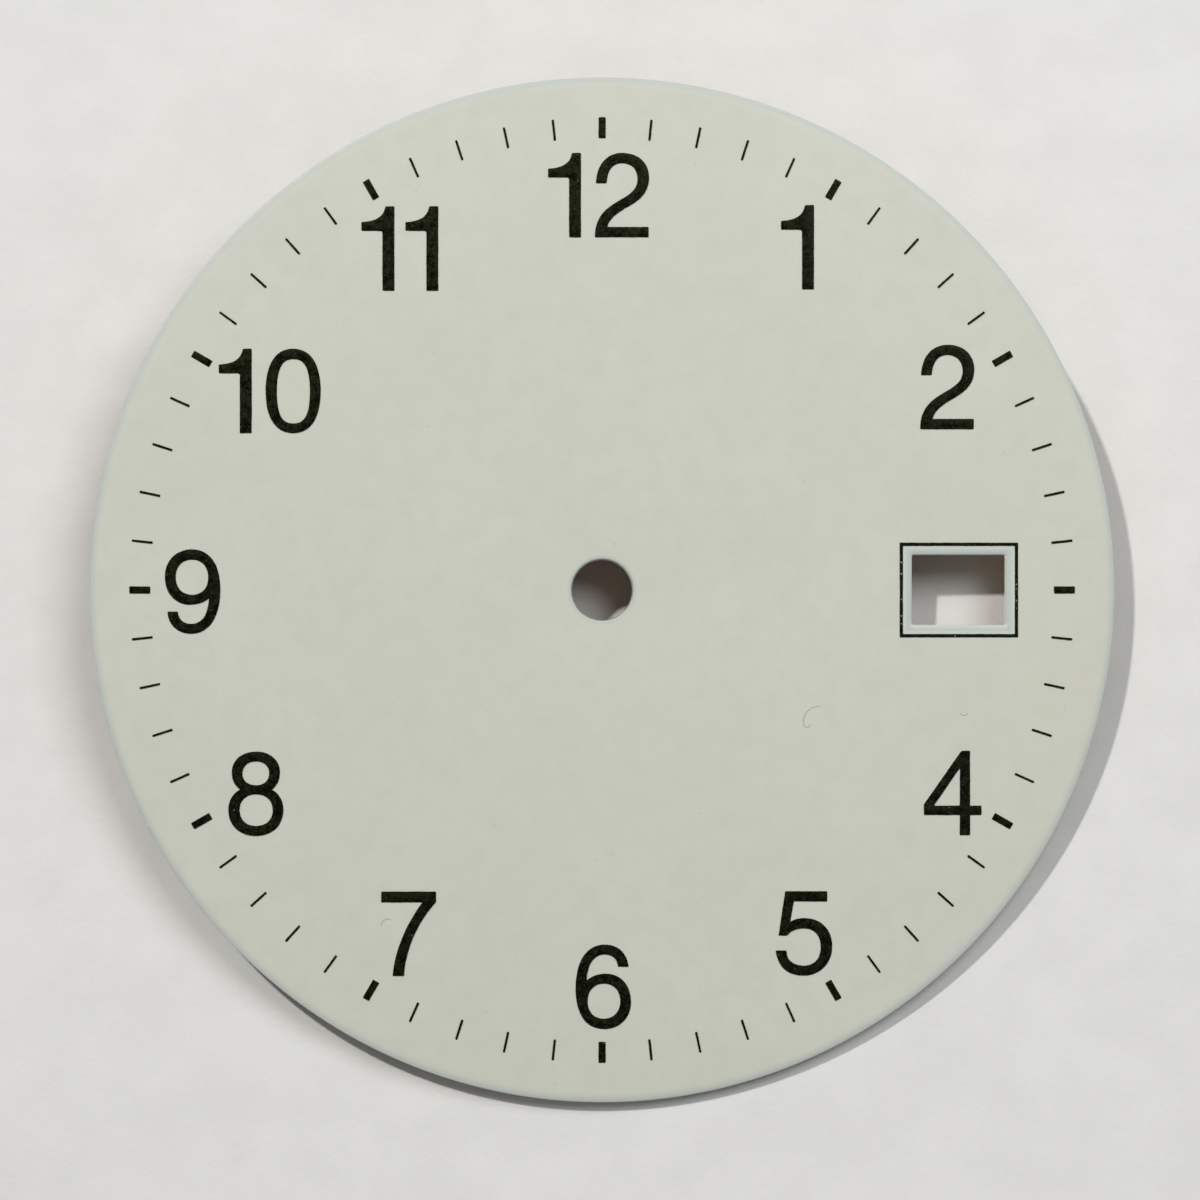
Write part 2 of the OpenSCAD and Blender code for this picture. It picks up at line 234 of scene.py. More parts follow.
class Shell:
    """Points and faces of one mesh, in millimetres."""

    def __init__(self):
        self.points = []
        self.faces = []

    def ring(self, loop):
        start = len(self.points)
        self.points.extend(tuple(float(c) for c in p) for p in loop)
        return list(range(start, len(self.points)))

    def bridge(self, below, above):
        """Quads between two rings of the same count, facing out when the rings run anticlockwise."""
        n = len(below)
        for i in range(n):
            j = (i + 1) % n
            self.faces.append((below[i], below[j], above[j], above[i]))

    def stack(self, loops):
        """Rings with quads between them. Returns the first and the last ring."""
        rings = [self.ring(loop) for loop in loops]
        for below, above in zip(rings, rings[1:]):
            self.bridge(below, above)
        return rings[0], rings[-1]

    def fill(self, rings, up=True):
        """Flat triangles inside the first ring and outside the others, facing up or down."""
        order = [i for ring in rings for i in ring]
        flat = [Vector(self.points[i][:2]) for i in order]
        edges = []
        loops = []
        start = 0
        for ring in rings:
            loop = list(range(start, start + len(ring)))
            edges.extend(zip(loop, loop[1:] + loop[:1]))
            loops.append(loop)
            start += len(ring)
        points, _, faces, origins, _, _ = delaunay_2d_cdt(flat, edges, loops, CDT_INSIDE, CDT_NEAR)
        height = self.points[order[0]][2]
        index = []
        for point, origin in zip(points, origins):
            if origin:
                index.append(order[origin[0]])
            else:
                index.append(len(self.points))
                self.points.append((point.x, point.y, height))
        for face in faces:
            a, b, c = (points[i] for i in face[:3])
            corners = [index[i] for i in face]
            if ((b - a).cross(c - a) > 0) != up:
                corners.reverse()
            self.faces.append(tuple(corners))

    def build(self, name, sharp_angle=SHARP_ANGLE):
        mesh = bpy.data.meshes.new(name)
        mesh.from_pydata([[c * MM for c in p] for p in self.points], [], self.faces)
        mesh.validate()
        mesh.shade_smooth()
        mesh.set_sharp_from_angle(angle=math.radians(sharp_angle))
        obj = bpy.data.objects.new(name, mesh)
        bpy.context.scene.collection.objects.link(obj)
        return obj


def circle(r, z, steps, middle=(0, 0)):
    """Points of a circle, anticlockwise from above. z may be one number or one for each point."""
    a = np.arange(steps) * 2 * math.pi / steps
    flat = np.broadcast_to(np.asarray(z, float), (steps,))
    return np.column_stack([middle[0] + r * np.cos(a), middle[1] + r * np.sin(a), flat])


def window_loop(grow, z):
    """Points round the date window, anticlockwise, standing out from its finished walls by grow."""
    r = WINDOW_CORNER_R + grow
    across = WINDOW_HALF[0] - WINDOW_CORNER_R
    along = WINDOW_HALF[1] - WINDOW_CORNER_R
    corners = [(across, along, 0), (-across, along, 90), (-across, -along, 180), (across, -along, 270)]
    points = []
    for k, (x, y, turn) in enumerate(corners):
        for i in range(CORNER_STEPS + 1):
            a = math.radians(turn + 90 * i / CORNER_STEPS)
            points.append((x + r * math.cos(a), y + r * math.sin(a)))
        next_x, next_y, next_turn = corners[(k + 1) % 4]
        a = math.radians(next_turn)
        end = (next_x + r * math.cos(a), next_y + r * math.sin(a))
        begin = points[-1]
        for i in range(1, SIDE_STEPS):
            t = i / SIDE_STEPS
            points.append((begin[0] + t * (end[0] - begin[0]), begin[1] + t * (end[1] - begin[1])))
    return [(WINDOW_X + x, y, z) for x, y in points]


def roll(w, h):
    """Steps down a quarter ellipse from a flat face to a wall, as (way out, way down)."""
    turns = [math.radians(90 * i / ROLL_STEPS) for i in range(ROLL_STEPS + 1)]
    return [(w * math.sin(a), h * (1 - math.cos(a))) for a in turns]


def smooth_noise(rng, count, reach):
    """Soft closed noise of about one unit, whose features span about reach samples."""
    kept = np.exp(-2 * (math.pi * np.fft.rfftfreq(count) * reach) ** 2)
    soft = np.fft.irfft(np.fft.rfft(rng.standard_normal(count)) * kept, count)
    spread = soft.std()
    return soft / spread if spread > 0 else soft


def shown_as(obj, node, material):
    """Puts a finished piece in the place of its CAD node."""
    obj.data.materials.append(material)
    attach(obj, "root")
    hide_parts(node)
    return obj


# Blank and lacquer

def front_rings(shell, z, rim_r, rim_roll, bore_roll, window_grow, window_roll):
    """The front of the disc: its flat face and the rolled edges. Returns the last ring of each edge."""
    rim_flat = rim_r - rim_roll[0]
    rim_loops = [circle(rim_flat + out, z - down, RIM_STEPS) for out, down in roll(*rim_roll)]
    rim_end, rim_start = shell.stack(rim_loops[::-1])
    bore_flat = BORE_R + bore_roll[0]
    bore_loops = [circle(bore_flat - out, z - down, BORE_STEPS) for out, down in roll(*bore_roll)]
    bore_start, bore_end = shell.stack(bore_loops)
    window_flat = window_grow + window_roll[0]
    window_loops = [window_loop(window_flat - out, z - down) for out, down in roll(*window_roll)]
    window_start, window_end = shell.stack(window_loops)
    shell.fill([rim_start, bore_start, window_start])
    return rim_end, bore_end, window_end


def white_lacquer(material):
    rng = np.random.default_rng(LACQUER_SEED)
    shell = Shell()
    rim, bore, window = front_rings(
        shell, FACE_Z, DIAL_R, RIM_COAT_ROLL, BORE_COAT_ROLL, 0, WINDOW_COAT_ROLL
    )
    # The lower edge of the coat on the rim wanders, and so does the one inside the window
    hem = BARE_RIM_H + HEM_WANDER * np.abs(smooth_noise(rng, RIM_STEPS, RIM_HEM_REACH))
    hem_out = shell.ring(circle(DIAL_R, hem, RIM_STEPS))
    hem_in = shell.ring(circle(PLATE_R, hem, RIM_STEPS))
    shell.bridge(hem_out, rim)
    shell.bridge(hem_in, hem_out)
    inner_rim, inner_bore, inner_window = inner_skin(shell)
    shell.bridge(inner_rim, hem_in)
    shell.bridge(bore, inner_bore)
    lip = np.array(window_loop(0, LIP_Z))
    lip[:, 2] += HEM_WANDER * np.abs(smooth_noise(rng, len(lip), WINDOW_HEM_REACH))
    lip_out = shell.ring(lip)
    back = np.array(window_loop(LIP_T, LIP_Z))
    back[:, 2] = lip[:, 2]
    lip_in = shell.ring(back)
    shell.bridge(window, lip_out)
    shell.bridge(lip_out, lip_in)
    shell.bridge(lip_in, inner_window)
    shown_as(shell.build("lacquer_coat"), "white_lacquer", material)


def inner_skin(shell):
    """The side of the lacquer that lies on the brass. Returns the last ring of each edge."""
    rim_flat = PLATE_R - RIM_ROLL[0]
    rim_loops = [circle(rim_flat + out, PLATE_T - down, RIM_STEPS) for out, down in roll(*RIM_ROLL)]
    rim_start, rim_end = shell.stack(rim_loops)
    bore_flat = BORE_R + BORE_ROLL[0]
    bore_loops = [circle(bore_flat - out, PLATE_T - down, BORE_STEPS) for out, down in roll(*BORE_ROLL)]
    bore_end, bore_start = shell.stack(bore_loops[::-1])
    window_flat = LIP_T + WINDOW_ROLL[0]
    window_loops = [window_loop(window_flat - out, PLATE_T - down) for out, down in roll(*WINDOW_ROLL)]
    window_end, window_start = shell.stack(window_loops[::-1])
    shell.fill([rim_start, bore_start, window_start], up=False)
    return rim_end, bore_end, window_end


def dial_plate(material):
    shell = Shell()
    rim, bore, window = front_rings(shell, PLATE_T, PLATE_R, RIM_ROLL, BORE_ROLL, LIP_T, WINDOW_ROLL)
    back_rim, wall_rim = shell.stack([
        circle(PLATE_R - BACK_CHAMFER, 0, RIM_STEPS),
        circle(PLATE_R, BACK_CHAMFER, RIM_STEPS)
    ])
    shell.bridge(wall_rim, rim)
    wall_bore, back_bore = shell.stack([
        circle(BORE_R, EDGE_BREAK, BORE_STEPS),
        circle(BORE_R + EDGE_BREAK, 0, BORE_STEPS)
    ])
    shell.bridge(bore, wall_bore)
    wall_window, back_window = shell.stack([
        window_loop(LIP_T, EDGE_BREAK),
        window_loop(LIP_T + EDGE_BREAK, 0)
    ])
    shell.bridge(window, wall_window)
    seats = []
    for middle in FOOT_MIDDLES.values():
        floor, mouth = shell.stack([
            circle(SEAT_R, SEAT_DEPTH, FOOT_STEPS, middle),
            circle(SEAT_R, 0, FOOT_STEPS, middle)
        ])
        shell.fill([floor], up=False)
        seats.append(mouth)
    shell.fill([back_rim, back_bore, back_window] + seats, up=False)
    shown_as(shell.build("brass_plate"), "dial_plate", material)


# Printing

def top_outlines(node):
    """Closed outlines of the top faces of a CAD node, in millimetres. Holes run clockwise."""
    mesh = node.data
    top = max(v.co.z for v in mesh.vertices) - TOP_SLACK
    edges = {}
    for face in mesh.polygons:
        corners = [mesh.vertices[i].co for i in face.vertices]
        if min(c.z for c in corners) < top:
            continue
        keys = [(round(c.x / MM, KEY_DIGITS), round(c.y / MM, KEY_DIGITS)) for c in corners]
        for a, b in zip(keys, keys[1:] + keys[:1]):
            if edges.get(b) and a in edges[b]:
                edges[b].remove(a)
            else:
                edges.setdefault(a, []).append(b)
    loops = []
    while any(edges.values()):
        start = next(a for a in edges if edges[a])
        loop = [start]
        at = edges[start].pop()
        while at != start:
            loop.append(at)
            at = edges[at].pop()
        loops.append(np.array(loop))
    return loops


def area_of(loop):
    following = np.roll(loop, -1, 0)
    return 0.5 * np.sum(loop[:, 0] * following[:, 1] - following[:, 0] * loop[:, 1])


def holds(loop, point):
    """Whether a point lies inside a closed outline."""
    following = np.roll(loop, -1, 0)
    spans = (loop[:, 1] > point[1]) != (following[:, 1] > point[1])
    a = loop[spans]
    b = following[spans]
    cross = a[:, 0] + (point[1] - a[:, 1]) * (b[:, 0] - a[:, 0]) / (b[:, 1] - a[:, 1])
    return np.sum(cross > point[0]) % 2 == 1


def unit(v):
    return v / np.maximum(np.linalg.norm(v, axis=-1, keepdims=True), 1e-12)


def curved(loop, step):
    """The outline at even steps, with its curves rounded and its corners and straight sides kept."""
    way = np.roll(loop, -1, 0) - loop
    length = np.linalg.norm(way, axis=1)
    out_way = unit(way)
    in_way = np.roll(out_way, 1, 0)
    in_length = np.roll(length, 1)
    turn = np.degrees(np.arccos(np.clip(np.sum(in_way * out_way, 1), -1, 1)))
    corner = turn > CORNER_TURN
    middle_way = unit(in_way * length[:, None] + out_way * in_length[:, None])
    middle_way = np.where((length > STRAIGHT_RATIO * in_length)[:, None], out_way, middle_way)
    middle_way = np.where((in_length > STRAIGHT_RATIO * length)[:, None], in_way, middle_way)
    points = []
    for i in range(len(loop)):
        j = (i + 1) % len(loop)
        begin_way = out_way[i] if corner[i] else middle_way[i]
        end_way = out_way[i] if corner[j] else middle_way[j]
        t = np.arange(0, 1, 1 / max(1, round(length[i] / step)))[:, None]
        points.append(
            (2 * t ** 3 - 3 * t ** 2 + 1) * loop[i] + (t ** 3 - 2 * t ** 2 + t) * begin_way * length[i]
            + (3 * t ** 2 - 2 * t ** 3) * loop[j] + (t ** 3 - t ** 2) * end_way * length[i]
        )
    return np.concatenate(points)


def soften(loop, reach):
    """Rounds the corners of an outline a little, as ink does. reach is in samples."""
    wave = np.fft.fftfreq(len(loop))
    kept = np.exp(-2 * (math.pi * wave * reach) ** 2)
    flat = np.fft.ifft(np.fft.fft(loop[:, 0] + 1j * loop[:, 1]) * kept)
    return np.column_stack([flat.real, flat.imag])


def outward(loop):
    """Unit vectors that point out of the ink along an outline."""
    way = unit(np.roll(loop, -1, 0) - np.roll(loop, 1, 0))
    return np.column_stack([way[:, 1], -way[:, 0]])


def line_pinholes():
    """Outlines of the pinholes in the line round the date window, clockwise."""
    middle = (LINE_LOW + LINE_HIGH) / 2
    sides = {
        "left": (LINE_LOW.x + LINE_W / 2, middle.y, 0, 1),
        "right": (LINE_HIGH.x - LINE_W / 2, middle.y, 0, 1),
        "low": (middle.x, LINE_LOW.y + LINE_W / 2, 1, 0)
    }
    loops = []
    for side, along, r in LINE_PINHOLES:
        x, y, step_x, step_y = sides[side]
        middle = (x + along * step_x, y + along * step_y)
        loops.append(circle(r, 0, PINHOLE_STEPS, middle)[::-1, :2])
    return loops


def ink_edge(loop, shoulder):
    """Rings up the rounded edge of a layer of ink."""
    out = outward(loop)
    return [
        np.column_stack([loop - out * shoulder * way_in, np.full(len(loop), FACE_Z + INK_T * rise)])
        for way_in, rise in INK_EDGE
    ]


def ink_outlines(node, spread, wander, seed):
    """The outlines of a CAD node's top, with soft corners and a slightly ragged edge."""
    rng = np.random.default_rng(seed)
    loops = []
    for loop in top_outlines(NODES[node]):
        loop = soften(curved(loop, INK_STEP), INK_SOFTEN / INK_STEP)
        ragged = sum(smooth_noise(rng, len(loop), reach) for reach in WANDER_REACHES) / 2
        loops.append(loop + outward(loop) * (spread + wander * ragged)[:, None])
    return loops


def printed(node, loops, material, pinholes=()):
    """Ink in the place of a CAD node: a low cushion inside those outlines."""
    shell = Shell()
    for outer in [loop for loop in loops if area_of(loop) > 0]:
        holes = [loop for loop in loops if area_of(loop) < 0 and holds(outer, loop[0])]
        edges = [ink_edge(loop, INK_SHOULDER) for loop in [outer] + holes]
        edges += [ink_edge(loop, PINHOLE_SHOULDER) for loop in pinholes]
        feet, tops = zip(*(shell.stack(rings) for rings in edges))
        shell.fill(feet, up=False)
        shell.fill(tops)
    shown_as(shell.build(f"ink_{node}", INK_SHARP_ANGLE), node, material)


def printing(material):
    printed("hour_marks", ink_outlines("hour_marks", *HOUR_PRINT), material)
    printed("minute_marks", ink_outlines("minute_marks", *MINUTE_PRINT), material)
    printed("date_frame_line", ink_outlines("date_frame_line", *LINE_PRINT), material, line_pinholes())
    for numeral in NUMERALS:
        node = f"numeral_{numeral}"
        loops = ink_outlines(node, NUMERAL_SPREAD, NUMERAL_WANDER, NUMERAL_SEED + numeral)
        printed(node, loops, material)


# Feet

def dial_foot(side, material):
    middle = FOOT_MIDDLES[side]
    shell = Shell()
    tip, root = shell.stack([circle(r, h - FOOT_LEN, FOOT_STEPS, middle) for r, h in FOOT_PROFILE])
    shell.fill([tip], up=False)
    shell.fill([root])
    shown_as(shell.build(f"copper_foot_{side}"), f"dial_foot_{side}", material)


def foot_braze(side, material):
    """The ring of braze round the root of a foot, with a hollow face and an uneven edge."""
    rng = np.random.default_rng(BRAZE_SEED + len(side))
    middle = FOOT_MIDDLES[side]
    share, reach = BRAZE_CLIMB_WANDER
    climb = BRAZE_RISE * (1 + share * smooth_noise(rng, FOOT_STEPS, reach))
    share, reach = BRAZE_LEVEL_WANDER
    level = SEAT_DEPTH / 2 * (1 + share * smooth_noise(rng, FOOT_STEPS, reach))
    loops = [circle(FOOT_R, SEAT_DEPTH, FOOT_STEPS, middle)]
    for i in range(ROLL_STEPS + 1):
        a = math.radians(90 * (1 - i / ROLL_STEPS))
        r = SEAT_R - (SEAT_R - FOOT_R) * math.sin(a)
        loops.append(circle(r, level - (level + climb) * (1 - math.cos(a)), FOOT_STEPS, middle))
    loops.append(circle(SEAT_R, SEAT_DEPTH, FOOT_STEPS, middle))
    shell = Shell()
    inner, outer = shell.stack(loops)
    shell.bridge(outer, inner)
    shown_as(shell.build(f"braze_ring_{side}"), f"foot_braze_{side}", material)


# Materials

WHITE = (1.0, 1.0, 1.0, 1.0)


class Graph:
    """Short ways to make the nodes of one material or of the world."""

    def __init__(self, owner):
        self.owner = owner
        self.owner.use_nodes = True
        self.tree = self.owner.node_tree
        self.tree.nodes.clear()

    def add(self, kind, inputs=(), **settings):
        node = self.tree.nodes.new(kind)
        for key, value in settings.items():
            setattr(node, key, value)
        for key, value in dict(inputs).items():
            self.put(node.inputs[key], value)
        return node

    def put(self, socket, value):
        if isinstance(value, bpy.types.NodeSocket):
            self.tree.links.new(value, socket)
        else:
            socket.default_value = value

    def place(self):
        """The point on the object, in millimetres in the row frame."""
        spot = self.add("ShaderNodeTexCoord").outputs["Object"]
        return self.add("ShaderNodeVectorMath", {0: spot, 3: 1 / MM}, operation="SCALE").outputs[0]

    def stretched(self, place, angle, scale):
        settings = {"Vector": place, "Rotation": (0, 0, math.radians(angle)), "Scale": scale}
        return self.add("ShaderNodeMapping", settings, vector_type="TEXTURE").outputs[0]

    def noise(self, place, scale, detail=3.0, roughness=0.55):
        settings = {"Vector": place, "Scale": scale, "Detail": detail, "Roughness": roughness}
        return self.add("ShaderNodeTexNoise", settings).outputs["Fac"]

    def line_noise(self, w, scale, detail=3.0):
        settings = {"W": w, "Scale": scale, "Detail": detail}
        return self.add("ShaderNodeTexNoise", settings, noise_dimensions="1D").outputs["Fac"]

    def math(self, operation, a, b=0.0):
        return self.add("ShaderNodeMath", {0: a, 1: b}, operation=operation).outputs[0]

    def span(self, value, low, high, to_low=0.0, to_high=1.0):
        """Maps a value from one range to another, with soft ends and no overrun."""
        settings = {"Value": value, 1: low, 2: high, 3: to_low, 4: to_high}
        return self.add("ShaderNodeMapRange", settings, interpolation_type="SMOOTHSTEP").outputs[0]

    def mix(self, share, a, b):
        """Mixes two colours."""
        node = self.add("ShaderNodeMix", data_type="RGBA")
        self.put(node.inputs[0], share)
        self.put(node.inputs[6], a)
        self.put(node.inputs[7], b)
        return node.outputs[2]

    def bump(self, height, depth, normal=None):
        """Relief of that depth in millimetres."""
        settings = {"Height": height, "Strength": 1.0, "Distance": depth * MM}
        if normal is not None:
            settings["Normal"] = normal
        return self.add("ShaderNodeBump", settings).outputs[0]

    def separate(self, place):
        return self.add("ShaderNodeSeparateXYZ", {0: place}).outputs

    def radius(self, place, middle=(0, 0)):
        """Distance from a line along Z."""
        x, y, _ = self.separate(place)
        dx = self.math("SUBTRACT", x, middle[0])
        dy = self.math("SUBTRACT", y, middle[1])
        squares = self.math("ADD", self.math("MULTIPLY", dx, dx), self.math("MULTIPLY", dy, dy))
        return self.math("SQRT", squares)

    def arc(self, place, fibre, w):
        """1 on a thin arc that lies on the face, 0 beside it."""
        x, y, _ = self.separate(place)
        middle_x, middle_y, r, turn, half_sweep = fibre
        a = math.radians(turn)
        reach = self.radius(place, (middle_x, middle_y))
        along_x = self.math("MULTIPLY", self.math("SUBTRACT", x, middle_x), math.cos(a))
        along_y = self.math("MULTIPLY", self.math("SUBTRACT", y, middle_y), math.sin(a))
        heading = self.math("DIVIDE", self.math("ADD", along_x, along_y), reach)
        edge = math.cos(math.radians(half_sweep))
        in_sweep = self.span(heading, edge - FIBRE_FADE, edge + FIBRE_FADE)
        off = self.math("ABSOLUTE", self.math("SUBTRACT", reach, r))
        return self.math("MULTIPLY", self.span(off, w / 2, w / 5), in_sweep)

    def first_of(self, condition):
        """1 where a ray has met no matt surface before, and the condition holds."""
        depth = self.add("ShaderNodeLightPath").outputs["Diffuse Depth"]
        return self.math("MULTIPLY", condition, self.math("LESS_THAN", depth, 0.5))

    def surface(self, colour, roughness, normal, metallic=0.0, specular=0.5, tint=WHITE):
        shader = self.add("ShaderNodeBsdfPrincipled", {
            "Base Color": colour, "Roughness": roughness, "Normal": normal, "Metallic": metallic,
            "Specular IOR Level": specular, "Specular Tint": tint
        })
        output = self.add("ShaderNodeOutputMaterial")
        self.put(output.inputs[0], shader.outputs[0])
        return self.owner


def rgb(r, g, b):
    """A colour for a shader from its sRGB levels out of 255."""
    levels = [c / 255 for c in (r, g, b)]
    linear = [c / 12.92 if c < 0.04045 else ((c + 0.055) / 1.055) ** 2.4 for c in levels]
    return (*linear, 1.0)


LACQUER = rgb(203, 205, 192)
LACQUER_LIGHT = rgb(206, 208, 196)
LACQUER_DARK = rgb(197, 199, 185)
LACQUER_COOL = rgb(199, 209, 202)
LACQUER_WARM = rgb(203, 202, 185)
LACQUER_THIN_SHADE = rgb(185, 193, 188)
LACQUER_HOLE_SHADE = rgb(112, 114, 108)
FIBRE = rgb(134, 138, 128)
INK = rgb(12, 17, 5)
INK_WORN = rgb(46, 51, 35)
INK_DEEP = rgb(1, 1, 0)
INK_SHEEN = (1.0, 1.0, 0.6, 1.0)
BRASS = rgb(196, 160, 96)
BRASS_LIGHT = rgb(212, 180, 118)
BRASS_BROWN = rgb(142, 104, 62)
BRASS_WALL_SHADE = rgb(120, 92, 60)
HEAT_TINT = rgb(118, 80, 62)
COPPER = rgb(186, 120, 90)
COPPER_DARK = rgb(96, 62, 52)
BRAZE = rgb(198, 190, 170)
BRAZE_DARK = rgb(138, 126, 106)
PAPER = rgb(226, 225, 222)
PAPER_DARK = rgb(221, 220, 217)


def lacquer_material():
    g = Graph(bpy.data.materials.new("lacquer"))
    place = g.place()
    broad = g.span(g.noise(place, 0.22, 3), 0.3, 0.7)
    colour = g.mix(broad, LACQUER, LACQUER_LIGHT)
    cloud = g.span(g.noise(place, 1.6, 4, 0.6), 0.4, 0.68, 0.0, 0.42)
    colour = g.mix(cloud, colour, LACQUER_DARK)
    # The coat has yellowed a little in patches
    patch = g.span(g.noise(place, 0.11, 2), 0.5, 0.75, 0.0, 0.35)
    colour = g.mix(patch, colour, LACQUER_WARM)
    # It is a cooler white inside the printed line round the window
    x, y, _ = g.separate(place)
    off_x = g.math("SUBTRACT", g.math("ABSOLUTE", g.math("SUBTRACT", x, WINDOW_X)), WINDOW_HALF.x)
    off_y = g.math("SUBTRACT", g.math("ABSOLUTE", y), WINDOW_HALF.y)
    beyond = g.math("MAXIMUM", off_x, off_y)
    colour = g.mix(g.span(beyond, *WINDOW_COOL, 0.0, 0.75), colour, LACQUER_COOL)
    # Where it turns down at the edges the coat is thinner, and painted shade darkens it there
    r = g.radius(place)
    at_rim = g.span(r, DIAL_R - RIM_THIN_SHADE[0], DIAL_R - RIM_THIN_SHADE[1])
    at_bore = g.span(r, BORE_R + BORE_THIN_SHADE[0], BORE_R + BORE_THIN_SHADE[1])
    at_window = g.span(beyond, *WINDOW_THIN_SHADE, 0.0, 0.75)
    thin_and_shade = g.math("MAXIMUM", g.math("MAXIMUM", at_rim, at_bore), at_window)
    colour = g.mix(thin_and_shade, colour, LACQUER_THIN_SHADE)
    # Painted shade: a dark ring where the lacquer meets the centre hole
    colour = g.mix(g.span(r, BORE_R + BORE_EDGE_SHADE[0], BORE_R + BORE_EDGE_SHADE[1]), colour, LACQUER_HOLE_SHADE)
    # Fine grain of the sprayed coat, and dust buried in it
    grain = g.noise(place, 11, 3, 0.6)
    colour = g.mix(g.span(grain, 0.35, 0.7, 0.0, 0.25), colour, LACQUER_DARK)
    speck = g.add("ShaderNodeTexVoronoi", {"Vector": place, "Scale": 1.1}).outputs
    tiny = g.math("LESS_THAN", speck["Distance"], 0.028)
    colour = g.mix(g.math("MULTIPLY", tiny, 0.2), colour, INK_WORN)
    fibres = 0.0
    for fibre in FIBRES:
        fibres = g.math("MAXIMUM", g.arc(place, fibre, FIBRE_W), fibres)
    colour = g.mix(g.math("MULTIPLY", fibres, 0.7), colour, FIBRE)
    roughness = g.span(g.noise(place, 2.5, 4), 0.3, 0.7, 0.42, 0.52)
    normal = g.bump(g.noise(place, 0.5, 2), 0.006)
    normal = g.bump(g.noise(place, 7, 2), 0.0016, normal=normal)
    normal = g.bump(grain, 0.0012, normal=normal)
    normal = g.bump(fibres, 0.003, normal=normal)
    return g.surface(colour, roughness, normal, specular=0.42)


def ink_material():
    g = Graph(bpy.data.materials.new("ink"))
    place = g.place()
    mottle = g.span(g.noise(place, 4, 5, 0.75), 0.4, 0.6)
    colour = g.mix(mottle, INK_DEEP, INK)
    worn = g.span(g.noise(place, 15, 3, 0.8), 0.53, 0.67)
    colour = g.mix(g.math("MULTIPLY", worn, 0.8), colour, INK_WORN)
    # Pinholes, where the lacquer shows through
    cell = g.add("ShaderNodeTexVoronoi", {"Vector": place, "Scale": 5.5}).outputs
    size = g.span(g.noise(place, 3, 1), 0.48, 0.75, 0.0, 0.08)
    hole = g.math("LESS_THAN", cell["Distance"], size)
    colour = g.mix(g.math("MULTIPLY", hole, 0.5), colour, LACQUER_DARK)
    roughness = g.span(mottle, 0, 1, 0.25, 0.47)
    normal = g.bump(g.noise(place, 14, 3, 0.7), 0.008)
    return g.surface(colour, roughness, normal, specular=0.13, tint=INK_SHEEN)


def brass_material():
    g = Graph(bpy.data.materials.new("brass"))
    place = g.place()
    r = g.radius(place)
    turned = g.line_noise(r, 9, 4)
    colour = g.mix(g.span(turned, 0.3, 0.7), BRASS, BRASS_LIGHT)
    tarnish = g.span(g.noise(place, 0.28, 5, 0.65), 0.46, 0.72)
    colour = g.mix(g.math("MULTIPLY", tarnish, 0.75), colour, BRASS_BROWN)
    stain = g.span(g.noise(place, 1.9, 4, 0.7), 0.6, 0.74)
    colour = g.mix(g.math("MULTIPLY", stain, 0.45), colour, BRASS_BROWN)
    # The brazing heat has tinted the brass round each foot
    for middle in FOOT_MIDDLES.values():
        gap = g.math("ADD", g.radius(place, middle), g.math("MULTIPLY", g.noise(place, 1.2, 3), 0.9))
        tint = g.span(gap, *HEAT_REACH)
        colour = g.mix(g.math("MULTIPLY", tint, 0.7), colour, HEAT_TINT)
    # Painted shade darkens the punched walls of the openings
    _, _, z = g.separate(place)
    wall_shade = g.math("MULTIPLY", g.span(z, *WALL_SHADE_Z), g.math("LESS_THAN", r, DIAL_R - WALL_SHADE_INSET))
    colour = g.mix(g.math("MULTIPLY", wall_shade, 0.8), colour, BRASS_WALL_SHADE)
    # Lacquer mist on the outer edge of the back and on the bare foot of the rim
    mist_edge = g.math("ADD", r, g.math("MULTIPLY", g.noise(place, 2.2, 3), 0.5))
    droplets = g.span(g.noise(place, 13, 3, 0.7), 0.5, 0.58)
    mist = g.math("MULTIPLY", g.span(mist_edge, *MIST_RADII), droplets)
    colour = g.mix(mist, colour, LACQUER_DARK)
    metallic = g.math("SUBTRACT", 1.0, mist)
    scratch = g.span(g.noise(g.stretched(place, *SCRATCH_LIE), 3.2, 2), 0.62, 0.7)
    cross = g.span(g.noise(g.stretched(place, *CROSS_LIE), 3.0, 2), 0.64, 0.72)
    marks = g.math("MAXIMUM", scratch, cross)
    roughness = g.math("ADD", g.span(tarnish, 0, 1, 0.3, 0.46), g.math("MULTIPLY", mist, 0.2))
    normal = g.bump(turned, 0.0035)
    normal = g.bump(marks, -0.0025, normal=normal)
    normal = g.bump(g.noise(place, 5, 3), 0.002, normal=normal)
    return g.surface(colour, roughness, normal, metallic)


def copper_material():
    g = Graph(bpy.data.materials.new("copper"))
    place = g.place()
    _, _, z = g.separate(place)
    drawn = g.line_noise(z, 16, 3)
    colour = g.mix(g.span(g.noise(place, 2.4, 4), 0.3, 0.7), COPPER, COPPER_DARK)
    colour = g.mix(g.span(drawn, 0.35, 0.65, 0.0, 0.4), colour, COPPER)
    edge = g.math("ADD", z, g.math("MULTIPLY", g.noise(place, 4, 3), 0.3))
    colour = g.mix(g.span(edge, *ROOT_DARK_Z, 0.0, 0.85), colour, COPPER_DARK)
    roughness = g.span(drawn, 0.3, 0.7, 0.3, 0.44)
    normal = g.bump(drawn, 0.003)
    normal = g.bump(g.noise(place, 12, 3), 0.003, normal=normal)
    return g.surface(colour, roughness, normal, 1.0)


def braze_material():
    g = Graph(bpy.data.materials.new("braze"))
    place = g.place()
    mottle = g.noise(place, 5, 4, 0.65)
    colour = g.mix(g.span(mottle, 0.35, 0.65), BRAZE_DARK, BRAZE)
    roughness = g.span(mottle, 0.3, 0.7, 0.3, 0.5)
    normal = g.bump(g.noise(place, 9, 3), 0.008)
    return g.surface(colour, roughness, normal, 1.0)


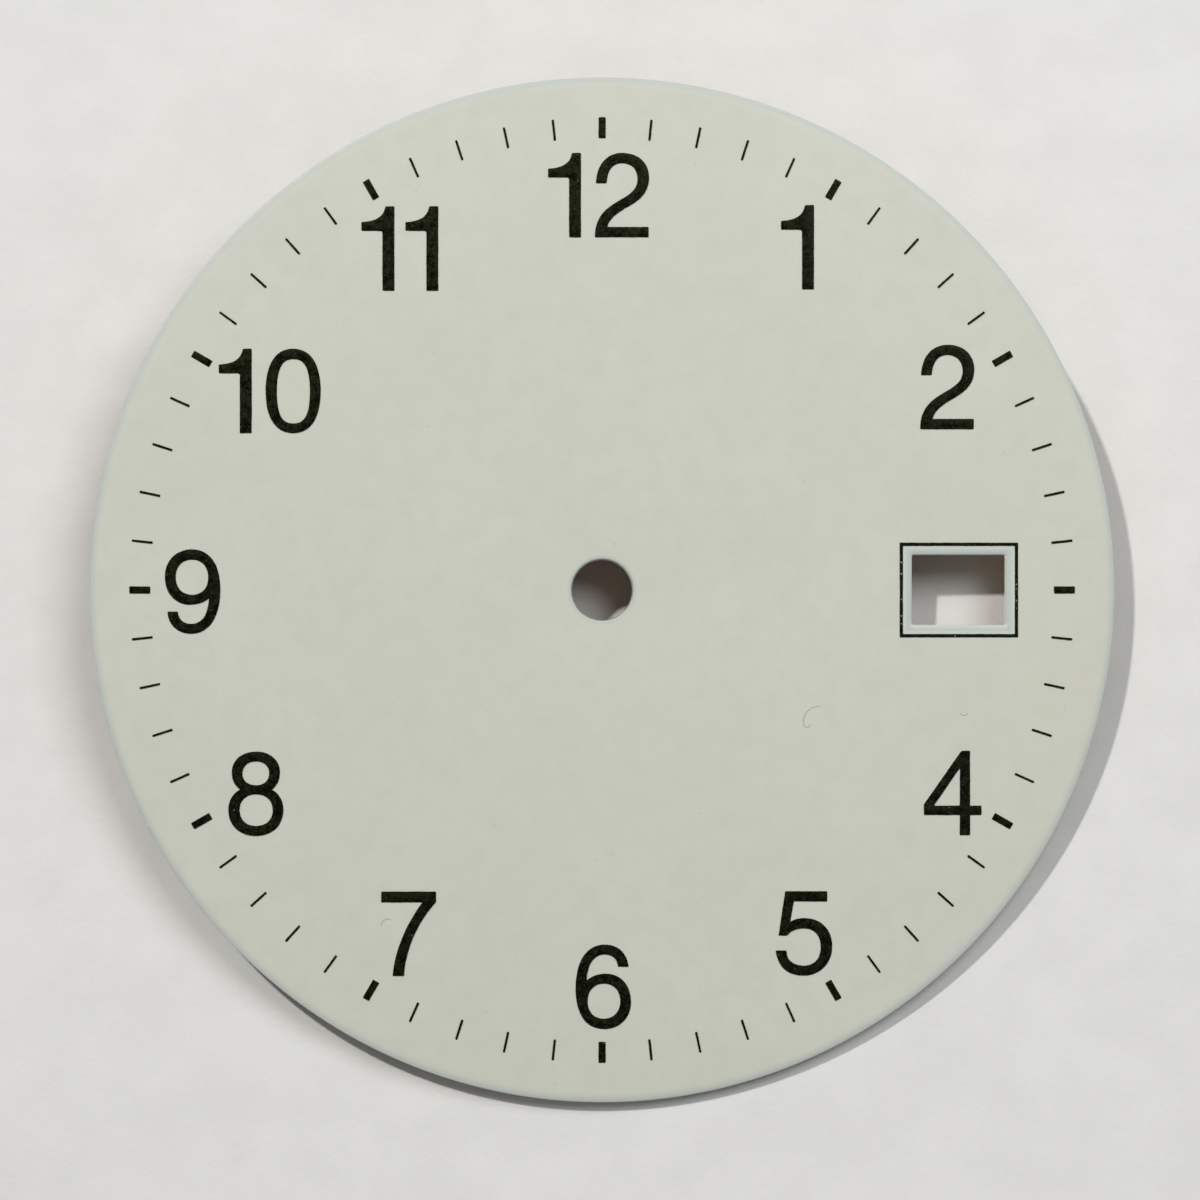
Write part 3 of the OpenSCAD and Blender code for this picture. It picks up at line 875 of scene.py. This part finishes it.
def paper_material():
    """The floor's paper. Views from below, the lamp below and what the dial mirrors pass through it."""
    g = Graph(bpy.data.materials.new("paper"))
    place = g.place()
    colour = g.mix(g.span(g.noise(place, 0.5, 5, 0.6), 0.3, 0.7), PAPER_DARK, PAPER)
    normal = g.bump(g.noise(place, 5, 4, 0.65), 0.012)
    sheet = g.add("ShaderNodeBsdfPrincipled", {
        "Base Color": colour, "Roughness": 0.9, "Normal": normal, "Specular IOR Level": 0.2
    }).outputs[0]
    clear = g.add("ShaderNodeBsdfTransparent").outputs[0]
    behind = g.add("ShaderNodeNewGeometry").outputs["Backfacing"]
    path = g.add("ShaderNodeLightPath").outputs
    through = g.first_of(g.math("MAXIMUM", path["Is Shadow Ray"], path["Is Glossy Ray"]))
    share = g.math("MAXIMUM", behind, through)
    mixed = g.add("ShaderNodeMixShader", {0: share, 1: sheet, 2: clear}).outputs[0]
    g.add("ShaderNodeOutputMaterial", {0: mixed})
    return g.owner


# Stage

def floor(material):
    """Pale paper, tilted so that the tips of both feet and the low side of the rim touch it."""
    a = math.radians(LOW_RIM_ANGLE)
    outward_way = Vector((math.cos(a), math.sin(a), 0))
    along = Vector((-math.sin(a), math.cos(a), 0))
    touch = outward_way * (PLATE_R - BACK_CHAMFER)
    tips = outward_way * TIP_R - Vector((0, 0, FOOT_LEN))
    across = (tips - touch).normalized()
    signs = ((-1, -1), (1, -1), (1, 1), (-1, 1))
    corners = [touch + FLOOR_HALF * (i * along + j * across) for i, j in signs]
    shell = Shell()
    ring = shell.ring(corners)
    up = (corners[1] - corners[0]).cross(corners[2] - corners[1]).z > 0
    shell.faces.append(tuple(ring if up else ring[::-1]))
    obj = shell.build("paper_floor")
    obj.data.materials.append(material)


def lamp(name, azimuth, off_vertical, distance, size, power, colour=(1, 1, 1), below=False):
    """A round area lamp aimed at the dial. Angles are in degrees and lengths in millimetres."""
    data = bpy.data.lights.new(name, "AREA")
    data.shape = "DISK"
    data.size = size * MM
    data.energy = power
    data.color = colour
    a = math.radians(azimuth)
    t = math.radians(off_vertical)
    side = -1 if below else 1
    way = Vector((math.sin(t) * math.cos(a), math.sin(t) * math.sin(a), side * math.cos(t)))
    obj = bpy.data.objects.new(name, data)
    obj.location = way * distance * MM
    obj.rotation_euler = way.to_track_quat("Z", "Y").to_euler()
    obj.visible_camera = False
    bpy.context.scene.collection.objects.link(obj)


def lights():
    lamp(
        "key", azimuth=126, off_vertical=41, distance=400, size=20, power=0.895,
        colour=(1.0, 0.985, 0.955)
    )
    lamp(
        "soft", azimuth=52, off_vertical=37, distance=195, size=110, power=0.175,
        colour=(0.97, 0.985, 1.0)
    )
    lamp("underside", azimuth=200, off_vertical=30, distance=500, size=400, power=0.6, below=True)


def studio():
    """Dim soft light all round. The camera, and metal that faces down, see it as a pale backdrop."""
    world = bpy.data.worlds.new("studio")
    g = Graph(world)
    path = g.add("ShaderNodeLightPath").outputs
    _, _, up = g.separate(g.add("ShaderNodeTexCoord").outputs["Generated"])
    backdrop = g.math("MULTIPLY", path["Is Camera Ray"], BACKDROP)
    below = g.span(up, *BACKDROP_FADE, WORLD_LIGHT, BACKDROP)
    mirrored = g.math("MULTIPLY", path["Is Glossy Ray"], below)
    strength = g.math("MAXIMUM", g.math("MAXIMUM", backdrop, mirrored), WORLD_LIGHT)
    background = g.add("ShaderNodeBackground", {"Color": BACKDROP_COLOUR, "Strength": strength})
    g.add("ShaderNodeOutputWorld", {0: background.outputs[0]})
    bpy.context.scene.world = world


def camera():
    """Straight above the printed face, framed as in the photograph."""
    data = bpy.data.cameras.new("camera")
    data.sensor_width = SENSOR_W
    data.lens = SENSOR_W * CAMERA_D / VIEW_W
    data.clip_start = CLIP_NEAR
    data.clip_end = CLIP_FAR
    obj = bpy.data.objects.new("camera", data)
    obj.location = Vector((AIM[0], AIM[1], FACE_Z + CAMERA_D)) * MM
    bpy.context.scene.collection.objects.link(obj)
    bpy.context.scene.camera = obj


def main():
    dial_plate(brass_material())
    white_lacquer(lacquer_material())
    printing(ink_material())
    copper = copper_material()
    braze = braze_material()
    for side in FOOT_SIDES:
        dial_foot(side, copper)
        foot_braze(side, braze)
    floor(paper_material())
    lights()
    studio()
    camera()
    bpy.context.scene.view_settings.view_transform = "Standard"


main()
